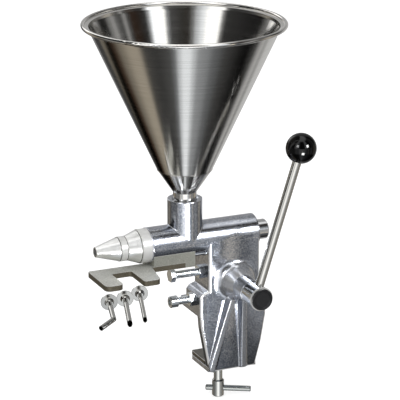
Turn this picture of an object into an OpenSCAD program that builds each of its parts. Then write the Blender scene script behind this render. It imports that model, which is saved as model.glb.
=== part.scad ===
// Donut filler that clamps to a table edge.
// X runs along the barrel towards its rear, +Y away from the lever, +Z up.
// The sizes below are measured from the crossing of the hopper's and the barrel's axes.
// The finished part is shifted so that the origin is on the table seat, above the clamp screw.

/* [Hopper] */
// Height of the rim's top above the barrel's axis
hopper_top = 291; // [240:1:320]
// Radius of the rolled rim's centre line
rim_r = 129; // [110:1:140]
// Radius of the rolled bead
bead_r = 2.8; // [2:0.1:4]
// Outer radius of the cone just under the rim
cone_top_r = 122; // [100:1:124]
// Height of the weld between the two cones
cone_knee_h = 97; // [85:1:120]
// Outer radius at that weld
cone_knee_r = 36; // [28:0.5:45]
// Height at which the lower cone meets the spout
spout_top_h = 66.5; // [62:0.5:75]
// Outer radius of the spout
spout_r = 15.5; // [12:0.5:17]
// Thickness of the sheet
sheet = 1; // [0.8:0.1:1.5]

/* [Barrel and neck] */
// Height of the barrel's axis above the table seat
barrel_h = 104; // [98:1:115]
// Outer radius of the barrel
barrel_r = 23.2; // [21:0.1:26]
// Length of the barrel in front of the hopper's axis
barrel_front = 54.7; // [45:0.1:70]
// Place of the barrel's rear face
barrel_rear = 98.2; // [94:0.1:105]
// Outer radius of the neck
neck_r = 22.9; // [20:0.1:23]
// Height of the neck above the barrel's axis
neck_top = 57.2; // [50:0.1:60]
// Height of the shoulder that the spout stands on
neck_seat_h = 32; // [25:0.5:40]
// Radius of the feed hole under that shoulder
feed_r = 14; // [10:0.5:14.4]

/* [Piston] */
// Radius of the piston
piston_r = 13.5; // [11:0.1:15]
// How far the piston stands out of the rear face at rest
piston_stand = 19; // [10:0.5:25]
// Place of the piston's front face at rest
piston_front = 15; // [12:0.5:20]

/* [Nozzle] */
// Length of the cap's collar
collar_len = 13.5; // [10:0.5:18]
// Radius of the cap's collar
collar_r = 22.5; // [20:0.1:25]
// Length of the cap's cone
cap_cone_len = 17.3; // [12:0.1:25]
// Length of the cap's front ring
cap_ring_len = 9.5; // [6:0.1:14]
// Radius of the cap's front ring
cap_ring_r = 16.3; // [15:0.1:18]
// Length of the nose
nose_len = 31.5; // [24:0.5:45]
// Radius of the nose at its mouth
nose_tip_r = 6.7; // [6.2:0.1:9]
// Radius of the mouth's hole
mouth_r = 5.5; // [3:0.1:5.7]

/* [Housing] */
// Place of the front wall
house_front = 24.7; // [22:0.1:28]
// Half of the housing's width
house_half = 23; // [20:0.1:23]
// Depth of the ledge below the barrel's axis
ledge_drop = 68.4; // [60:0.1:75]
// Place of the base's front edge at the seat
base_front = 12; // [8:0.5:18]
// Place of the base's rear edge at the seat
base_rear = 108; // [104:0.5:115]
// How far the upper jaw reaches beyond the barrel's mid-plane
jaw_reach = 47; // [40:0.5:60]
// Thickness of the upper jaw
jaw_t = 9.5; // [7:0.5:12]

/* [Lever] */
// Place of the lever shaft behind the hopper's axis
shaft_x = 63; // [60:0.5:66]
// Depth of the lever shaft below the barrel's axis
shaft_drop = 58.9; // [54:0.1:62]
// Radius of the shaft
shaft_r = 8; // [6:0.5:9]
// Lean of the lever at rest, back from upright
lean = 18; // [12:0.1:20]
// Distance from the shaft to the centre of the knob
lever_len = 200.5; // [160:1:260]
// Radius of the lever rod
rod_r = 6; // [4:0.5:7]
// Radius of the ball knob
ball_r = 20; // [15:0.5:25]
// Radius of the lever's hub
hub_r = 15.2; // [13:0.1:17]

/* [Stops] */
// Radius of the stop screws
stop_r = 5; // [4:0.5:5.5]
// Height of the upper stop screw above the shaft
stop_up = 12; // [10:0.1:14]
// Depth of the lower stop screw below the shaft
stop_down = 25; // [20:0.5:26]

/* [Clamp] */
// Room between the seat and the lowered pad
jaw_gap = 67; // [50:1:80]
// Place of the clamp screw behind the hopper's axis
screw_x = 54; // [46:0.5:62]
// Place of the clamp screw beyond the barrel's mid-plane
screw_y = 12; // [10:0.5:16]
// Radius of the clamp screw
screw_r = 6; // [5:0.5:7]
// Radius of the screw's head
screw_head_r = 8.2; // [8:0.1:11]
// Radius of the tommy bar
bar_r = 4; // [3:0.5:5]
// Length of the tommy bar
bar_len = 61.5; // [45:0.5:90]

/* [Fork and block] */
// Thickness of the fork plate
fork_t = 7; // [4:0.5:8]
// Left edge of the fork plate
fork_left = -137.5; // [-150:0.5:-125]
// How far the fork plate reaches towards the operator
fork_reach = 67; // [50:0.5:80]
// Width of the slot between the prongs
slot_w = 28; // [16:0.5:32]
// Depth of the saddle block's underside below the barrel's axis
block_drop = 31.2; // [29:0.1:36]
// Half of the saddle block's width
block_half = 20.8; // [16:0.1:22]
// Length of the saddle block
block_len = 58; // [46:0.1:60]

/* [Loose tips] */
// Radius of a tip's flange
tip_flange_r = 11.5; // [8:0.5:12]
// Outer radius of the wide tube
tip_wide_r = 3.5; // [2.5:0.1:4]
// Outer radius of the fine tube
tip_fine_r = 3; // [2:0.1:3.5]
// Wall of the tubes
tip_wall = 0.6; // [0.3:0.1:0.8]

/* [Hidden] */
$fn = 64;

// Shared clearances and the overrun of every cut
run_clear = 0.04;
slide_clear = 0.03;
drop_clear = 0.3;
side_clear = 0.5;
cut = 1;

// Places that several pieces share
seat_z = -barrel_h;
shaft_z = -shaft_drop;
pad_top_z = seat_z - jaw_gap;
front_face = -barrel_front;

// Casting
edge_c = 2;
casting_r = 6;
face_step = 0.1;
house_rear = barrel_rear - face_step;
ledge_run = 8.3;
ledge_dip = 2.8;
shoulder_dip = 7.8;
rear_step = 9.5;
spine_t = 11;
spine_knee_x = 13.9;
spine_knee_drop = 16;
spine_foot_x = 25.9;
spine_heel_x = 92.3;
spine_heel_r = 5;
spine_rear_x = 101.5;
spine_rear_drop = 44.5;
pad_t = 5;
pad_gap = 1;
shelf_t = 6;
shelf_front = 24.5;
shelf_rear = 94;
shelf_reach = 35;
shelf_r = 4;
boss_r = 11;
boss_drop = 6;
shelf_top_z = pad_top_z - pad_t - pad_gap;
shelf_bot_z = shelf_top_z - shelf_t;
thread_spigot_r = 19.5;
thread_spigot_len = 11;
neck_chamfer = 2.2;
neck_bore_r = spout_r + drop_clear;
barrel_bore_r = piston_r + run_clear;

// Trumpet boss round the shaft
trumpet_root_r = 24;
trumpet_tip_r = 14.5;
trumpet_len = 23;
trumpet_fillet_r = 12.5;
trumpet_edge_r = 40;
trumpet_face = -house_half - trumpet_len;

// Ribs on the operator's side of the spine
rib_w = 6;
rib_draft = 3;
rib_proud = 11;
rib_foot_proud = 2.5;
rib_left_top_x = 54;
rib_left_foot_x = 27.6;
rib_right_top_x = 71.5;
rib_right_foot_x = 74.6;
rib_top_drop = 22;
rib_foot_lift = 1;

// Crank chamber
chamber_half = 10.5;
chamber_front = 34;
roof_t = 6.5;
chamber_roof = barrel_bore_r + roof_t;
chamber_floor_z = seat_z + jaw_t;
throat_half = 6;
throat_run = 21.5;

// Crank
crank_r = 60;
crank_head_r = 6;
crank_neck_half = 4;
crank_root_half = 9;
crank_root_len = 20;
crank_tail = 32;
crank_t = 10;
crank_hub_r = 15;
crank_pin_r = 2.5;
crank_pin_y = -7.5;
pocket_clear = 0.25;
pocket_half = crank_head_r + pocket_clear;
pocket_flare_half = 13;
pocket_up = 8.5;
pocket_down = 6;
crank_head_x = shaft_x + crank_r * sin(lean);
seal_w = 3;
seal_depth = 1.8;
seal_front_in = 5;
seal_rear_in = 22;

// Bearings and shaft
bush_r = 11;
flange_t = 3;
far_flange_r = 14;
sleeve_r = 15.9;
sleeve_groove = 2;
sleeve_groove_in = 1.6;
sleeve_end = -72;
oil_hole_r = 2;
oil_hole_y = -60;
shaft_far_end = 31;
circlip_t = 1.2;
circlip_groove = 1;
circlip_r = 10.5;

// Lever
hub_gap = 0.3;
hub_end = -99;
shaft_near_end = -97;
rod_y = -85.5;
rod_in_ball = 14;
ball_flat_r = 8;
ring_r = 15.8;
ring_lead = 0.7;
ring_lead_in = 1;
ring_end = -101.2;
cap_r = 14.2;
cap_end = -105;
cap_edge = 0.8;
dish_depth = 1.6;
dish_r = 12;

// Stops
stop_gap = 0.3;
stop_head_h = 6.4;
stop_head_af = 16;
stop_upper_len = 65;
stop_lower_len = 57;
stop_cap_r = 8;
stop_cap_h = 10;
stop_cap_edge = 1;
socket_af = 8;
socket_depth = 4;
nut_af = 16;
nut_h = 7;

// Clamp
screw_head_top = -209;
screw_head_len = 24;
screw_head_edge = 1.5;
bar_drop = 13;
bar_turn = -30;
bar_short = 17;
bar_edge = 1;
pad_front = 24.5;
pad_rear = 84;
pad_near = -11;
pad_reach = 35;
pad_corner = 3;
spigot_r = 4;
pad_web = 3;
rivet_r = 6.5;
rivet_recess = 0.3;

// Fork and block
tongue_near = -block_half;
tongue_far = -1;
tongue_rear = -8;
prong_left_w = 24.2;
slot_depth_y = -23;
slot_corner = 4;
fork_corner = 7;
fork_waist_x = -56;
fork_right_x = -62;
fork_waist_y = -22.5;
fork_right_y = -60;
block_front = front_face + 2.2;
block_top = 6;
fork_screw_r = 2.5;
fork_screw_head_r = 5;
fork_screw_len = 18;
fork_screw_xs = [-42, -18];
fork_screw_y = -11;
block_screw_y = 11;
block_cap_r = 4.25;
block_cap_h = 5;

// Loose tips: flange centre, turn, length
tip_flange_t = 2;
tip_hub_r = 6.5;
tip_hub_len = 6;
tip_hub_end = 1.2;
bent_at = [-85.3, 56.8];
bent_turn = 15.3;
bent_leg = 52.5;
bent_end = 31;
bent_angle = 38.5;
wide_at = [-60.8, 60.8];
wide_turn = 17.6;
wide_len = 80;
fine_at = [-35.1, 71.6];
fine_turn = 17.7;
fine_len = 84;
slant = 45;

// Outline helpers

// Points of a corner at b, between a and c, rounded to radius r
function corner(a, b, c, r, n = 6) =
    let (
        u = (a - b) / norm(a - b),
        v = (c - b) / norm(c - b),
        half = acos(max(-1, min(1, u * v))) / 2,
        m = (u + v) / norm(u + v),
        centre = b + m * r / sin(half),
        from = b + u * r / tan(half) - centre,
        to = b + v * r / tan(half) - centre,
        a0 = atan2(from[1], from[0]),
        turn = atan2(to[1], to[0]) - a0,
        sweep = turn > 180 ? turn - 360 : (turn < -180 ? turn + 360 : turn)
    )
    [for (i = [0:n]) centre + r * [cos(a0 + sweep * i / n), sin(a0 + sweep * i / n)]];

// An outline whose points are [x, y, radius], with radius 0 for a sharp corner
function rounded(pts) =
    let (last = len(pts) - 1)
    [for (i = [0:last])
        let (
            a = pts[i == 0 ? last : i - 1],
            b = pts[i],
            c = pts[i == last ? 0 : i + 1]
        )
        each (b[2] == 0 ? [[b[0], b[1]]] : corner([a[0], a[1]], [b[0], b[1]], [c[0], c[1]], b[2]))];

// Moves the finished piece so that the origin is on the table seat above the clamp screw
module at_seat() translate([-screw_x, -screw_y, barrel_h]) children();

// A cylinder along X from x0 to x1
module bar_x(x0, x1, r, r_end = -1)
    translate([x0, 0, 0]) rotate([0, 90, 0])
        cylinder(h = x1 - x0, r1 = r, r2 = r_end < 0 ? r : r_end);

// A cylinder along Y from y0 to y1, on the lever shaft's axis
module on_shaft(y0, y1, r, r_end = -1)
    translate([shaft_x, y0, shaft_z]) rotate([-90, 0, 0])
        cylinder(h = y1 - y0, r1 = r, r2 = r_end < 0 ? r : r_end);

// An outline in X and Z, made solid from y0 to y1
module slab_xz(y0, y1)
    translate([0, y1, 0]) rotate([90, 0, 0]) linear_extrude(y1 - y0) children();

// The same slab with its edges at y0 chamfered; the outline is convex
module chamfered_xz(y0, y1, points)
    hull() {
        slab_xz(y0 + edge_c, y1) polygon(points);
        slab_xz(y0, y1) offset(delta = -edge_c) polygon(points);
    }

// A hexagonal prism along X, af across its flats, with a flat on top
module hex_x(x0, h, af)
    translate([x0, 0, 0]) rotate([0, 90, 0]) rotate([0, 0, 30]) cylinder(h = h, r = af / sqrt(3), $fn = 6);

// Turns a piece drawn upright on the shaft's axis to the lean at rest
module leaning() translate([shaft_x, 0, shaft_z]) rotate([0, lean, 0]) children();

// Casting

upper_outline = [[house_front, -ledge_drop - shoulder_dip], [house_front, 0],
    [house_rear, 0], [house_rear, -ledge_drop - shoulder_dip]];

base_outline = [[house_front, -ledge_drop], [house_front - ledge_run, -ledge_drop - ledge_dip],
    [base_front, -ledge_drop - shoulder_dip], [base_front, seat_z],
    [base_rear, seat_z], [base_rear, -ledge_drop - shoulder_dip],
    [base_rear - rear_step, -ledge_drop]];

spine_top_z = seat_z + 3 * edge_c;

spine_outline = rounded([[base_front, spine_top_z, 0], [spine_knee_x, seat_z - spine_knee_drop, casting_r],
    [spine_foot_x, shelf_bot_z, edge_c], [spine_heel_x, shelf_bot_z, spine_heel_r],
    [spine_rear_x, seat_z - spine_rear_drop, casting_r], [base_rear, seat_z - shoulder_dip, 0],
    [base_rear, spine_top_z, 0]]);

// Conical boss whose root flares out in a large fillet until it lies flat in the near wall
module trumpet()
    translate([shaft_x, -house_half, shaft_z]) rotate([90, 0, 0]) rotate_extrude()
        polygon(concat([[0, -spine_t / 2]],
            corner([trumpet_edge_r, 0], [trumpet_root_r, 0], [trumpet_tip_r, trumpet_len],
                trumpet_fillet_r),
            [[trumpet_tip_r, trumpet_len], [0, trumpet_len]]));

// A tapered, drafted rib from the boss down to the spine's foot
module rib(top_x, foot_x) {
    top_z = shaft_z - rib_top_drop;
    foot_z = shelf_bot_z + rib_foot_lift;
    run = norm([foot_x - top_x, foot_z - top_z]);
    tilt = atan2(top_x - foot_x, top_z - foot_z);
    translate([foot_x, -house_half, foot_z]) rotate([0, tilt, 0]) hull() {
        rib_plate(rib_w + 2 * rib_draft, [[spine_t / 2, 0], [0, 0], [0, run], [spine_t / 2, run]]);
        rib_plate(rib_w, [[spine_t / 2, 0], [-rib_foot_proud, 0], [-rib_proud, run], [spine_t / 2, run]]);
    }
}

// An outline in Y and Z, made solid to both sides of the mid-plane
module rib_plate(w, points)
    translate([-w / 2, 0, 0]) rotate([90, 0, 90]) linear_extrude(w) polygon(points);

module jaw_flange()
    translate([0, 0, seat_z]) linear_extrude(jaw_t)
        polygon(rounded([[base_front, 0, 0], [base_rear, 0, 0], [base_rear, jaw_reach, casting_r],
            [base_front, jaw_reach, casting_r]]));

module shelf()
    translate([0, 0, shelf_bot_z]) linear_extrude(shelf_t)
        polygon(rounded([[shelf_front, -house_half + edge_c, 0], [shelf_rear, -house_half + edge_c, 0],
            [shelf_rear, shelf_reach, shelf_r], [shelf_front, shelf_reach, shelf_r]]));

module body_casting() color("gainsboro") at_seat() difference() {
    union() {
        bar_x(front_face, barrel_rear, barrel_r);
        bar_x(front_face - thread_spigot_len, front_face, thread_spigot_r);
        cylinder(h = neck_top, r = neck_r);
        chamfered_xz(-house_half, house_half, upper_outline);
        chamfered_xz(-house_half, house_half, base_outline);
        chamfered_xz(-house_half, -house_half + spine_t, spine_outline);
        jaw_flange();
        shelf();
        translate([screw_x, screw_y, shelf_bot_z - boss_drop])
            cylinder(h = boss_drop + shelf_t / 2, r = boss_r);
        trumpet();
        intersection() {
            union() {
                rib(rib_left_top_x, rib_left_foot_x);
                rib(rib_right_top_x, rib_right_foot_x);
            }
            slab_xz(-house_half - rib_proud, 0) {
                polygon(spine_outline);
                polygon(base_outline);
            }
        }
    }
    // Barrel bore, neck bore with its seat and mouth
    bar_x(front_face - thread_spigot_len - cut, barrel_rear + cut, barrel_bore_r);
    cylinder(h = neck_top + cut, r = feed_r);
    translate([0, 0, neck_seat_h]) cylinder(h = neck_top, r = neck_bore_r);
    translate([0, 0, neck_top - neck_chamfer])
        cylinder(h = neck_chamfer + cut, r1 = neck_bore_r, r2 = neck_bore_r + neck_chamfer + cut);
    // Crank chamber, open at the rear, and its throat into the barrel
    translate([chamber_front, -chamber_half, chamber_floor_z])
        cube([base_rear + cut - chamber_front, 2 * chamber_half, -chamber_roof - chamber_floor_z]);
    translate([shaft_x - throat_run, -throat_half, -chamber_roof - cut])
        cube([2 * throat_run, 2 * throat_half, chamber_roof + cut]);
    // Bores for the sleeve, the far bush, the stop screws and the clamp screw
    on_shaft(-house_half - trumpet_len - cut, 0, bush_r);
    on_shaft(0, house_half + cut, bush_r);
    translate([0, 0, shaft_z + stop_up]) bar_x(0, chamber_front + cut, stop_r + run_clear);
    translate([0, 0, shaft_z - stop_down]) bar_x(0, chamber_front + cut, stop_r + run_clear);
    translate([screw_x, screw_y, shelf_bot_z - boss_drop - cut])
        cylinder(h = boss_drop + shelf_t + 2 * cut, r = screw_r + run_clear);
    // Tapped holes of the block's screws
    for (x = fork_screw_xs, y = [fork_screw_y, block_screw_y])
        translate([x, y, -block_drop]) cylinder(h = fork_screw_len, r = fork_screw_r);
}

module bearing_sleeve() color("silver") at_seat() difference() {
    union() {
        on_shaft(trumpet_face, -chamber_half, bush_r);
        on_shaft(trumpet_face - sleeve_groove, trumpet_face, sleeve_r - sleeve_groove_in);
        on_shaft(sleeve_end, trumpet_face - sleeve_groove, sleeve_r);
    }
    on_shaft(sleeve_end - cut, -chamber_half + cut, shaft_r + run_clear);
    translate([shaft_x, oil_hole_y, shaft_z]) cylinder(h = sleeve_r + cut, r = oil_hole_r);
}

module bush_far() color("goldenrod") at_seat() difference() {
    union() {
        on_shaft(chamber_half, house_half, bush_r);
        on_shaft(house_half, house_half + flange_t, far_flange_r);
    }
    on_shaft(chamber_half - cut, house_half + flange_t + cut, shaft_r + run_clear);
}

// Stops

// Where the crank's flat flank stands at a stop, at a height above or below the shaft
function flank_x(offset) = shaft_x - offset * tan(lean) - crank_root_half / cos(lean);

// Centre of the round end of a stop screw that the flank meets
function stop_end_x(offset) = flank_x(offset) - (stop_r + stop_gap) / cos(lean);

module stop_shank(offset, len_total) {
    end = stop_end_x(offset);
    bar_x(end + stop_r - len_total, end, stop_r);
    translate([end, 0, 0]) sphere(r = stop_r);
}

module stop_screw_upper() color("lightsteelblue") at_seat()
    translate([0, 0, shaft_z + stop_up]) {
        head = stop_end_x(stop_up) + stop_r - stop_upper_len;
        union() {
            stop_shank(stop_up, stop_upper_len);
            hex_x(head - stop_head_h, stop_head_h, stop_head_af);
        }
    }

module stop_screw_lower() color("lightsteelblue") at_seat()
    translate([0, 0, shaft_z - stop_down]) {
        head = stop_end_x(stop_down) + stop_r - stop_lower_len;
        difference() {
            union() {
                stop_shank(stop_down, stop_lower_len);
                bar_x(head - stop_cap_h + stop_cap_edge, head, stop_cap_r);
                bar_x(head - stop_cap_h, head - stop_cap_h + stop_cap_edge,
                    stop_cap_r - stop_cap_edge, stop_cap_r);
            }
            hex_x(head - stop_cap_h - cut, socket_depth + cut, socket_af);
        }
    }

module lock_nut(x, z)
    translate([0, 0, z]) difference() {
        hex_x(x - nut_h, nut_h, nut_af);
        bar_x(x - nut_h - cut, x + cut, stop_r + slide_clear);
    }

module lock_nut_upper() color("lightsteelblue") at_seat() lock_nut(house_front, shaft_z + stop_up);

module lock_nut_lower() color("lightsteelblue") at_seat() lock_nut(base_front, shaft_z - stop_down);

// Saddle block and fork plate

module block_cap_screw_hole(x)
    translate([x, block_screw_y, -block_drop]) {
        cylinder(h = block_drop, r = fork_screw_r);
        translate([0, 0, -cut]) cylinder(h = block_cap_h + cut, r = block_cap_r + slide_clear);
    }

module countersunk(x, grow)
    translate([x, fork_screw_y, -block_drop]) {
        cylinder(h = fork_screw_len, r = fork_screw_r);
        cylinder(h = fork_screw_head_r - fork_screw_r, r1 = fork_screw_head_r, r2 = fork_screw_r);
        if (grow > 0) translate([0, 0, -grow]) cylinder(h = grow, r = fork_screw_head_r);
    }

module saddle_block() color("lightgray") at_seat() difference() {
    translate([block_front, -block_half, -block_drop])
        cube([block_len, 2 * block_half, block_drop - block_top]);
    bar_x(front_face - cut, house_front, barrel_r);
    translate([front_face - cut, -block_half - cut, -block_drop - cut])
        cube([tongue_rear - front_face + cut, tongue_far + block_half + cut, fork_t + cut]);
    for (x = fork_screw_xs) {
        countersunk(x, cut);
        block_cap_screw_hole(x);
    }
}

module fork_plate() color("lightgray") at_seat() difference() {
    translate([0, 0, -block_drop]) linear_extrude(fork_t)
        polygon(rounded([
            [tongue_rear, tongue_far, 0], [fork_left, tongue_far, fork_t / 2],
            [fork_left, -fork_reach, fork_corner], [fork_left + prong_left_w, -fork_reach, fork_corner],
            [fork_left + prong_left_w, slot_depth_y, slot_corner],
            [fork_left + prong_left_w + slot_w, slot_depth_y, slot_corner],
            [fork_left + prong_left_w + slot_w, -fork_reach, fork_corner / 2],
            [fork_right_x, -fork_reach, fork_corner], [fork_right_x, fork_right_y, fork_corner],
            [fork_waist_x, fork_waist_y, slot_corner / 2], [front_face, tongue_near, 0],
            [tongue_rear, tongue_near, 0]]));
    for (x = fork_screw_xs) countersunk(x, cut);
}

module fork_screw(x) countersunk(x, 0);

module block_screw(x)
    translate([x, block_screw_y, -block_drop]) difference() {
        union() {
            cylinder(h = fork_screw_len, r = fork_screw_r);
            cylinder(h = block_cap_h, r = block_cap_r);
        }
        translate([0, 0, -cut])
            cylinder(h = block_cap_h / 2 + cut, r = fork_screw_r * 2 / sqrt(3), $fn = 6);
    }

module fork_screw_front() color("silver") at_seat() fork_screw(fork_screw_xs[0]);
module fork_screw_rear() color("silver") at_seat() fork_screw(fork_screw_xs[1]);
module block_screw_front() color("silver") at_seat() block_screw(fork_screw_xs[0]);
module block_screw_rear() color("silver") at_seat() block_screw(fork_screw_xs[1]);

// Hopper

// The rim is a rolled bead on a short flared lip
module hopper_cone() color("whitesmoke") at_seat() {
    bead_z = hopper_top - bead_r;
    lip_z = bead_z - bead_r;
    union() {
        rotate_extrude($fn = 128)
            polygon([[cone_knee_r, cone_knee_h], [cone_top_r, lip_z - bead_r], [cone_top_r + sheet, lip_z],
                [rim_r - bead_r / 2, bead_z - bead_r / 2], [rim_r - bead_r / 2, bead_z],
                [cone_top_r, lip_z + sheet], [cone_top_r - sheet, lip_z - bead_r],
                [cone_knee_r - sheet, cone_knee_h]]);
        translate([0, 0, bead_z])
            rotate_extrude($fn = 128) translate([rim_r, 0]) circle(r = bead_r, $fn = 32);
    }
}

module hopper_outlet() color("whitesmoke") at_seat()
    rotate_extrude($fn = 96)
        polygon([[spout_r, neck_seat_h], [spout_r, spout_top_h], [cone_knee_r, cone_knee_h],
            [cone_knee_r - sheet, cone_knee_h], [spout_r - sheet, spout_top_h],
            [spout_r - sheet, neck_seat_h]]);

// Nozzle

cap_cone_start = front_face - collar_len;
cap_ring_start = cap_cone_start - cap_cone_len;
cap_front = cap_ring_start - cap_ring_len;
nose_front = cap_front - nose_len;
gasket_t = 1.5;
gasket_r = 18;
cap_step = 0.6;
cap_groove = 1.2;
cap_throat_r = 12;
nose_seat_r = tip_flange_r + drop_clear;
nose_seat_len = 3;
nose_step = 0.4;
nose_base_r = cap_ring_r - nose_step;
mouth_len = 6;

module nozzle_cap() color("gainsboro") at_seat() difference() {
    union() {
        bar_x(cap_cone_start + cap_groove, front_face, collar_r);
        bar_x(cap_cone_start, cap_cone_start + cap_groove, collar_r - 2 * cap_step);
        bar_x(cap_ring_start, cap_cone_start, cap_ring_r - cap_step, collar_r - cap_step);
        bar_x(cap_front, cap_ring_start, cap_ring_r);
    }
    bar_x(front_face - thread_spigot_len - gasket_t, front_face + cut, thread_spigot_r + slide_clear);
    bar_x(cap_front - cut, front_face, cap_throat_r);
}

module nozzle_gasket() color("dimgray") at_seat() difference() {
    bar_x(front_face - thread_spigot_len - gasket_t, front_face - thread_spigot_len, gasket_r);
    bar_x(front_face - thread_spigot_len - 2 * gasket_t, front_face, barrel_bore_r);
}

module nozzle_cone() color("gainsboro") at_seat() difference() {
    bar_x(nose_front, cap_front, nose_tip_r, nose_base_r);
    bar_x(cap_front - nose_seat_len, cap_front + cut, nose_seat_r);
    bar_x(nose_front + mouth_len, cap_front - nose_seat_len, mouth_r, nose_seat_r - nose_seat_len);
    bar_x(nose_front - cut, nose_front + mouth_len + cut, mouth_r);
}

// Piston

piston_rear = barrel_rear + piston_stand;

module piston() color("silver") at_seat() difference() {
    union() {
        bar_x(piston_front, piston_rear - edge_c, piston_r);
        bar_x(piston_rear - edge_c, piston_rear, piston_r, piston_r - edge_c);
    }
    // Pocket for the crank's head, flared below for its arm
    slab_xz(-crank_t / 2 - drop_clear, crank_t / 2 + drop_clear)
        polygon([[crank_head_x - pocket_half, pocket_up], [crank_head_x + pocket_half, pocket_up],
            [crank_head_x + pocket_half, -pocket_down], [crank_head_x + pocket_flare_half, -piston_r - cut],
            [crank_head_x - pocket_flare_half, -piston_r - cut],
            [crank_head_x - pocket_half, -pocket_down]]);
    for (x = [seal_front_in, seal_rear_in]) seal_groove(piston_front + x);
}

module seal_groove(x)
    difference() {
        bar_x(x, x + seal_w, piston_r + cut);
        bar_x(x - cut, x + seal_w + cut, piston_r - seal_depth);
    }

module seal(x)
    difference() {
        bar_x(x, x + seal_w, piston_r);
        bar_x(x - cut, x + seal_w + cut, piston_r - seal_depth);
    }

module piston_seal_front() color("black") at_seat() seal(piston_front + seal_front_in);
module piston_seal_rear() color("black") at_seat() seal(piston_front + seal_rear_in);

// Cross shaft and crank

module cross_shaft() color("silver") at_seat() difference() {
    on_shaft(shaft_near_end, shaft_far_end, shaft_r);
    difference() {
        on_shaft(house_half + flange_t, house_half + flange_t + circlip_t, shaft_r + cut);
        on_shaft(house_half, shaft_far_end, shaft_r - circlip_groove);
    }
    crank_pin_solid();
}

module shaft_circlip() color("dimgray") at_seat() difference() {
    on_shaft(house_half + flange_t, house_half + flange_t + circlip_t, circlip_r);
    on_shaft(house_half, shaft_far_end, shaft_r - circlip_groove);
    translate([shaft_x - shaft_r / 2, house_half, shaft_z - circlip_r - cut])
        cube([shaft_r, shaft_far_end, circlip_r + cut]);
}

module crank_pin_solid()
    leaning() translate([0, crank_pin_y, 0]) bar_x(-crank_hub_r, crank_hub_r, crank_pin_r);

module crank_arm() color("darkgray") at_seat() difference() {
    union() {
        on_shaft(-chamber_half + side_clear, chamber_half - side_clear, crank_hub_r);
        leaning() slab_xz(-crank_t / 2, crank_t / 2) {
            polygon([[-crank_root_half, -crank_tail + crank_root_half], [-crank_root_half, crank_root_len],
                [-crank_neck_half, crank_r - crank_neck_half], [crank_neck_half, crank_r - crank_neck_half],
                [crank_root_half, crank_root_len], [crank_root_half, -crank_tail + crank_root_half]]);
            translate([0, crank_r]) circle(r = crank_head_r);
            translate([0, -crank_tail + crank_root_half]) circle(r = crank_root_half);
        }
    }
    on_shaft(-chamber_half, chamber_half, shaft_r);
    crank_pin_solid();
}

module crank_pin() color("silver") at_seat() crank_pin_solid();

// Lever

hub_start = sleeve_end - hub_gap;

module lever_hub() color("gainsboro") at_seat() difference() {
    union() {
        on_shaft(hub_end, hub_start - cap_edge, hub_r);
        on_shaft(hub_start - cap_edge, hub_start, hub_r, hub_r - cap_edge);
    }
    on_shaft(shaft_near_end, hub_start + cut, shaft_r);
    leaning() translate([0, rod_y, shaft_r]) cylinder(h = hub_r, r = rod_r);
}

module hub_ring() color("white") at_seat() difference() {
    union() {
        on_shaft(hub_end - ring_lead, hub_end, ring_r - ring_lead_in);
        on_shaft(ring_end, hub_end - ring_lead, ring_r);
    }
    on_shaft(ring_end - cut, hub_end + cut, cap_r);
}

module hub_cap() color("black") at_seat() difference() {
    union() {
        on_shaft(cap_end + cap_edge, hub_end, cap_r);
        on_shaft(cap_end, cap_end + cap_edge, cap_r - cap_edge, cap_r);
    }
    on_shaft(cap_end - cut, cap_end + dish_depth, dish_r + cut, dish_r - dish_depth);
}

module lever_rod() color("silver") at_seat()
    leaning() translate([0, rod_y, shaft_r + hub_gap])
        cylinder(h = lever_len - ball_r + rod_in_ball - shaft_r - hub_gap, r = rod_r);

module ball_knob() color("black") at_seat()
    leaning() translate([0, rod_y, lever_len]) difference() {
        sphere(r = ball_r, $fn = 96);
        translate([0, 0, -ball_r - cut]) cylinder(h = rod_in_ball + cut, r = rod_r);
        translate([0, 0, -ball_r - cut])
            cylinder(h = cut + ball_r - sqrt(pow(ball_r, 2) - pow(ball_flat_r, 2)), r = ball_r);
    }

// Clamp

module at_screw(z) translate([screw_x, screw_y, z]) children();

module tommy_hole(r) rotate([0, 0, bar_turn]) translate([0, 0, -bar_drop]) rotate([0, 90, 0]) children();

module clamp_screw() color("silver") at_seat() difference() {
    union() {
        at_screw(screw_head_top - cut) cylinder(h = pad_top_z - pad_t - screw_head_top + cut, r = screw_r);
        at_screw(pad_top_z - pad_t) cylinder(h = pad_web, r = spigot_r);
        at_screw(screw_head_top - screw_head_len + screw_head_edge)
            cylinder(h = screw_head_len - 2 * screw_head_edge, r = screw_head_r);
        at_screw(screw_head_top - screw_head_edge)
            cylinder(h = screw_head_edge, r1 = screw_head_r, r2 = screw_head_r - screw_head_edge);
        at_screw(screw_head_top - screw_head_len)
            cylinder(h = screw_head_edge, r1 = screw_head_r - screw_head_edge, r2 = screw_head_r);
    }
    at_screw(screw_head_top) tommy_hole()
        translate([0, 0, -2 * screw_head_r]) cylinder(h = 4 * screw_head_r, r = bar_r + slide_clear);
}

module tommy_bar() color("silver") at_seat()
    at_screw(screw_head_top) tommy_hole() translate([0, 0, -bar_short]) {
        translate([0, 0, bar_edge]) cylinder(h = bar_len - 2 * bar_edge, r = bar_r);
        cylinder(h = bar_edge, r1 = bar_r - bar_edge, r2 = bar_r);
        translate([0, 0, bar_len - bar_edge]) cylinder(h = bar_edge, r1 = bar_r, r2 = bar_r - bar_edge);
    }

module clamp_pad() color("dimgray") at_seat() difference() {
    translate([0, 0, pad_top_z - pad_t]) linear_extrude(pad_t)
        polygon(rounded([[pad_front, pad_near, pad_corner], [pad_rear, pad_near, pad_corner],
            [pad_rear, pad_reach, pad_corner], [pad_front, pad_reach, pad_corner]]));
    at_screw(pad_top_z - pad_t - cut) cylinder(h = pad_t + 2 * cut, r = spigot_r + run_clear);
    at_screw(pad_top_z - pad_t + pad_web) cylinder(h = pad_t, r = rivet_r + drop_clear);
}

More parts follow.
